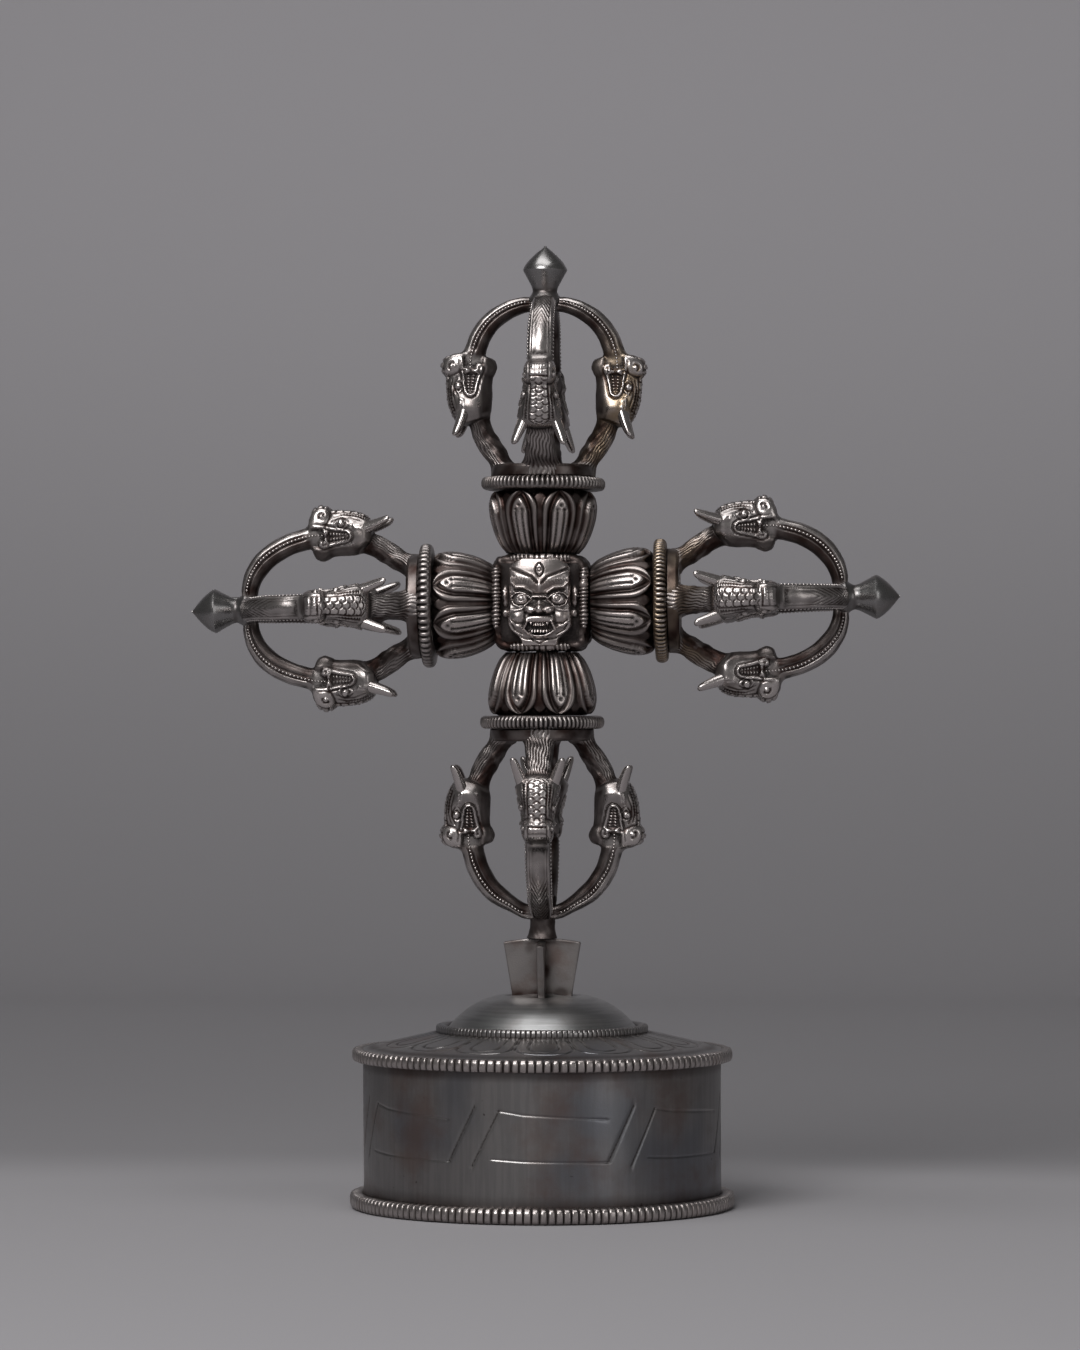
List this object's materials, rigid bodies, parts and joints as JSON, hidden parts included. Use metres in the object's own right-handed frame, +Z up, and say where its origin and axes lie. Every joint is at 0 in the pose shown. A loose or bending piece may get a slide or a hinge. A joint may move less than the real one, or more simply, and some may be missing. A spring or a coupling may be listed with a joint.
{
  "type": "double vajra on drum stand",
  "caption": "Crossed double vajra of iron with makara-headed prongs, lotus bulbs and a masked hub, plugged by a bladed foot into a round drum stand.",
  "frame": {"origin": "centre of the underside of the stand", "axes": "+Z up along the upright arms, +X along the crossbar to the viewer's right, the front mask faces -Y"},
  "size_m": [0.2242, 0.121, 0.3015],
  "materials": {
    "sheet_iron": "dark hammered sheet iron, satin, with brown patches",
    "ring_iron": "notched iron wire, dark in the notches and bright on the crests",
    "plate_iron": "filed plate iron",
    "carved_iron": "carved iron, brown-black in the grooves, worn bright on the ridges",
    "prong_iron": "chased and polished iron, dark in the grooves",
    "polished_iron": "polished iron",
    "rod_iron": "dark bar iron"
  },
  "bodies": {
    "stand": {"base_plate": "sheet_iron", "foot_ring": "ring_iron", "drum_wall": "sheet_iron", "lid_plate": "sheet_iron", "lid_ring": "ring_iron", "dome": "sheet_iron", "dome_ring": "ring_iron"},
    "vajra": {"blade_plate_side": "plate_iron", "blade_plate_front": "plate_iron", "stem": "plate_iron", "hub": "carved_iron", "mask_front": "carved_iron", "mask_back": "carved_iron", "axle_rod_top": "rod_iron", "lotus_top": "carved_iron", "bead_ring_top": "ring_iron", "collar_top": "carved_iron", "tip_top": "polished_iron", "prong_top_right": "prong_iron", "prong_top_back": "prong_iron", "prong_top_left": "prong_iron", "prong_top_front": "prong_iron", "axle_rod_right": "rod_iron", "lotus_right": "carved_iron", "bead_ring_right": "ring_iron", "collar_right": "carved_iron", "tip_right": "polished_iron", "prong_right_lower": "prong_iron", "prong_right_back": "prong_iron", "prong_right_upper": "prong_iron", "prong_right_front": "prong_iron", "axle_rod_bottom": "rod_iron", "lotus_bottom": "carved_iron", "bead_ring_bottom": "ring_iron", "collar_bottom": "carved_iron", "prong_bottom_left": "prong_iron", "prong_bottom_back": "prong_iron", "prong_bottom_right": "prong_iron", "prong_bottom_front": "prong_iron", "axle_rod_left": "rod_iron", "lotus_left": "carved_iron", "bead_ring_left": "ring_iron", "collar_left": "carved_iron", "tip_left": "polished_iron", "prong_left_upper": "prong_iron", "prong_left_back": "prong_iron", "prong_left_lower": "prong_iron", "prong_left_front": "prong_iron"}
  },
  "joints": [
    {"name": "vajra_lift", "type": "slide", "parent": "stand", "child": "vajra", "axis": [0, 0, 1], "range_m": [0, 0.04]}
  ]
}
